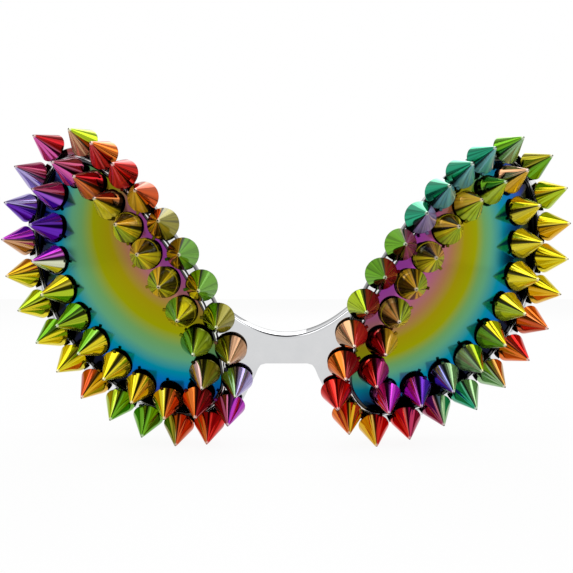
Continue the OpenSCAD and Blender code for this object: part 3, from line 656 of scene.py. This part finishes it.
# The side arms are moulded and silver plated like the front. Each is a flat bar that grows
# slimmer towards the ear, with rounded edges.
ARM_H, ARM_TAIL_H, ARM_L, ARM_DROP = 9, 4.6, 88, 12
ARM_STEPS, ARM_END, ARM_ROUND = 40, 0.9, 1.2
ARM_MID = ARM_IN + ARM_T / 2
mouth_y = AXIS_Y + ARM_L


def rounded_bar(wide, tall, r):
    """Section of a bar with rounded corners."""
    u, v = wide / 2 - r, tall / 2 - r
    return (arc(u, v, r, r, 0, 90, 5) + arc(-u, v, r, r, 90, 180, 5)
            + arc(-u, -v, r, r, 180, 270, 5) + arc(u, -v, r, r, 270, 360, 5))


def swept(bm, run):
    """Lofts bars along a run of (place, wide, tall, corner), each square to the run."""
    rings = []
    for i, (p, wide, tall, r) in enumerate(run):
        t = (run[min(i + 1, len(run) - 1)][0] - run[max(i - 1, 0)][0]).normalized()
        rings.append([(ARM_MID + u, p.x - v * t.y, p.y + v * t.x)
                      for u, v in rounded_bar(wide, tall, r)])
    loft(bm, rings)


def arm_place(t):
    return Vector((AXIS_Y + FIT_GAP + t * (mouth_y - AXIS_Y - FIT_GAP),
                   HINGE_UP - ARM_DROP * t * (0.6 + 0.4 * t)))


for side, turn in (("left", -1), ("right", 1)):
    arm = bmesh.new()
    run = []
    for k in range(ARM_STEPS + 1):
        t = k / ARM_STEPS
        tall = ARM_H + (ARM_TAIL_H - ARM_H) * math.sqrt(max(t, 0.004))
        run.append((arm_place(t), ARM_T, tall, min(ARM_ROUND, tall / 2 - 0.1)))
    start, wide, tall, r = run[0]
    ahead = (run[1][0] - start).normalized()
    ends = [(start + ahead * (ARM_END / 2) * (1 - math.cos(a)),
             wide - ARM_END * (1 - math.sin(a)), tall - ARM_END * (1 - math.sin(a)), r)
            for a in (0.25, 0.8, 1.2)]
    swept(arm, ends + run[1:])
    bmesh.ops.scale(arm, vec=(turn, 1, 1), verts=arm.verts[:])
    piece(f"plated_arm_{side}", arm, SILVER, f"arm_{side}",
          [f"side_arm_{side}"])

# The ear tips are soft black plastic sleeves pushed over the arms' ends. They bend down
# behind the ear and end in a rounded foot.
EAR_L, EAR_T, EAR_H, EAR_ROUND, EAR_STEPS = 44, 4.8, 6.6, 2.1, 30


def ear_plastic():
    n = Nodes(bpy.data.materials.new("ear_plastic"))
    place = n.add("ShaderNodeTexCoord", output=3)
    grain = n.add("ShaderNodeTexNoise", None, {"Vector": place, "Scale": 2200.0, "Detail": 3.0})
    wear = n.add("ShaderNodeTexNoise", None, {"Vector": place, "Scale": 70.0, "Detail": 2.0})
    bump = n.add("ShaderNodeBump", None, {"Strength": 0.35, "Distance": 0.0001, "Height": grain})
    return n.shade(Base_Color=n.mix(wear, paint(24, 24, 26), paint(38, 38, 41)),
                   Roughness=wear * 0.15 + 0.42, Normal=bump)


EAR_PLASTIC = ear_plastic()
ear_z = HINGE_UP - ARM_DROP
ear_floor = EAR_H * 0.36 - GROUND
bends = [Vector((mouth_y, ear_z)), Vector((mouth_y + EAR_L * 0.45, ear_z - ARM_DROP * 0.75)),
         Vector((mouth_y + EAR_L - EAR_H * 0.6, ear_floor))]


def ear_place(t):
    return (1 - t) ** 2 * bends[0] + 2 * t * (1 - t) * bends[1] + t * t * bends[2]


for side, turn in (("left", -1), ("right", 1)):
    tip = bmesh.new()
    down = (arm_place(1) - arm_place(0.99)).normalized()
    run = [(ear_place(0) + down * (0.1 + 0.5 * (1 - math.cos(a))), EAR_T - 1 + math.sin(a),
            EAR_H - 1 + math.sin(a), 1.6) for a in (0.2, 0.8, 1.2)]
    run += [(ear_place(k / EAR_STEPS), EAR_T, EAR_H, EAR_ROUND) for k in range(1, EAR_STEPS + 1)]
    end, onward = ear_place(1), (ear_place(1) - ear_place(0.98)).normalized()
    for a in (15, 30, 45, 60, 72, 82):
        share = math.cos(math.radians(a))
        run.append((end + onward * EAR_H / 2 * math.sin(math.radians(a)),
                    EAR_T * (0.45 + 0.55 * share), EAR_H * share,
                    min(EAR_ROUND, EAR_H * share / 2 - 0.05, EAR_T / 4)))
    swept(tip, run)
    bmesh.ops.recalc_face_normals(tip, faces=tip.faces[:])
    cut = bmesh.ops.bisect_plane(tip, geom=tip.verts[:] + tip.edges[:] + tip.faces[:],
                                 dist=0.0001, plane_co=(0, 0, -GROUND), plane_no=(0, 0, -1),
                                 clear_outer=True)
    bmesh.ops.edgeloop_fill(tip, edges=[e for e in cut["geom_cut"]
                                        if isinstance(e, bmesh.types.BMEdge)])
    bmesh.ops.scale(tip, vec=(turn, 1, 1), verts=tip.verts[:])
    piece(f"ear_sleeve_{side}", tip, EAR_PLASTIC, f"arm_{side}",
          [f"ear_tip_{side}"])

# The studio: a pale table that keeps the glasses' shadow, and a white tent all round. The
# tent is lit above and below, with a dark gap at table height and one thin bright tube in it.
FLOOR_SIZE, FLOOR_SEEN, FLOOR_MIRRORED = 4, 0.93, 0.85
bm = bmesh.new()
bmesh.ops.create_grid(bm, x_segments=1, y_segments=1, size=FLOOR_SIZE / 2)
mesh = bpy.data.meshes.new("table")
bm.to_mesh(mesh)
bm.free()
table = bpy.data.objects.new("table", mesh)
bpy.context.scene.collection.objects.link(table)
n = Nodes(bpy.data.materials.new("pale_table"))
mesh.materials.append(n.owner)
n.shade(Base_Color=paint(248, 248, 248), Roughness=0.9, Specular_IOR_Level=0.0)
seen, mirrored_in = (n.add("ShaderNodeLightPath", output=k) for k in (0, 3))
glow = n.add("ShaderNodeEmission", None, {"Color": (1, 1, 1, 1), "Strength": 1.0})
both = n.add("ShaderNodeMixShader", None,
             {0: seen * FLOOR_SEEN + mirrored_in * FLOOR_MIRRORED, 2: glow})
n.tree.links.new(n.tree.nodes["Principled BSDF"].outputs[0], both.socket.node.inputs[1])
n.set(n.tree.nodes["Material Output"].inputs["Surface"], both)


def grey(level):
    return (level,) * 3


n = Nodes(bpy.data.worlds.new("tent"))
bpy.context.scene.world = n.owner
way = n.add("ShaderNodeTexCoord", output=0)
parts = n.add("ShaderNodeSeparateXYZ", None, {0: way}).socket.node
aside, onward, upward = (Wire(n, parts.outputs[k]) for k in range(3))
bands = n.add("ShaderNodeValToRGB", {"stops": [
    (0, grey(0.9)), (0.43, grey(0.85)), (0.47, grey(0.02)), (0.535, grey(0.015)),
    (0.545, grey(1)), (0.56, grey(1)), (0.575, grey(0.08)), (0.64, grey(0.2)), (0.8, grey(0.75)),
    (1, grey(0.9))]}, {"Fac": upward * 0.5 + 0.5})
beside = n.add("ShaderNodeMapRange", {"interpolation_type": "SMOOTHSTEP"},
               {"Value": aside * aside, 1: 0.9, 2: 0.97})
overhead = n.add("ShaderNodeMapRange", {"interpolation_type": "SMOOTHSTEP"},
                 {"Value": upward, 1: 0.68, 2: 0.8})
front_wall = n.mix(overhead, n.mix(aside * 0.5 + 0.5, grey(0.86), grey(1.06)),
                   (0.25, 0.25, 0.26))
back = n.add("ShaderNodeMapRange", {"interpolation_type": "SMOOTHSTEP"},
             {"Value": onward, 1: 0.15, 2: 0.45})
room = n.mix(back, n.mix(beside, front_wall, bands), grey(0.95))
paths = n.add("ShaderNodeLightPath").socket.node
camera_ray, glossy_ray, clear_ray = (Wire(n, paths.outputs[k]) for k in
                                     ("Is Camera Ray", "Is Glossy Ray", "Is Transmission Ray"))
seen_by = n.mix(glossy_ray + clear_ray, (0.55, 0.55, 0.56), room)
n.set(n.tree.nodes["Background"].inputs["Color"], n.mix(camera_ray, seen_by, grey(1)))

LIT_SPOT = Vector((0, 0, 0.04))
for name, place, size, power in (("left_softbox", (-0.3, -0.25, 0.8), 0.66, 2.5),
                                 ("right_softbox", (0.5, -0.1, 0.7), 0.52, 1.5),
                                 ("back_softbox", (0.1, 0.6, 0.6), 0.5, 1.5)):
    lamp = bpy.data.lights.new(name, "AREA")
    lamp.size, lamp.energy = size, power
    box = bpy.data.objects.new(name, lamp)
    box.location = place
    box.rotation_euler = (LIT_SPOT - box.location).to_track_quat("-Z", "Y").to_euler()
    bpy.context.scene.collection.objects.link(box)

# The camera stands close in front of the bridge, level with the eye line, so the wings' ends
# are seen a little from the inside. Its distance is in millimetres.
CAMERA_AWAY = 172
camera = bpy.data.cameras.new("camera")
camera.sensor_width, camera.lens = 36, 44.06
camera.clip_start, camera.clip_end = 0.01, 20
eye = bpy.data.objects.new("camera", camera)
eye.location = (0, (-CAMERA_AWAY - MIDDLE_Y) * MM, GROUND * MM)
eye.rotation_euler = (math.radians(90), 0, 0)
bpy.context.scene.collection.objects.link(eye)
bpy.context.scene.camera = eye
bpy.context.scene.view_settings.view_transform = "Standard"
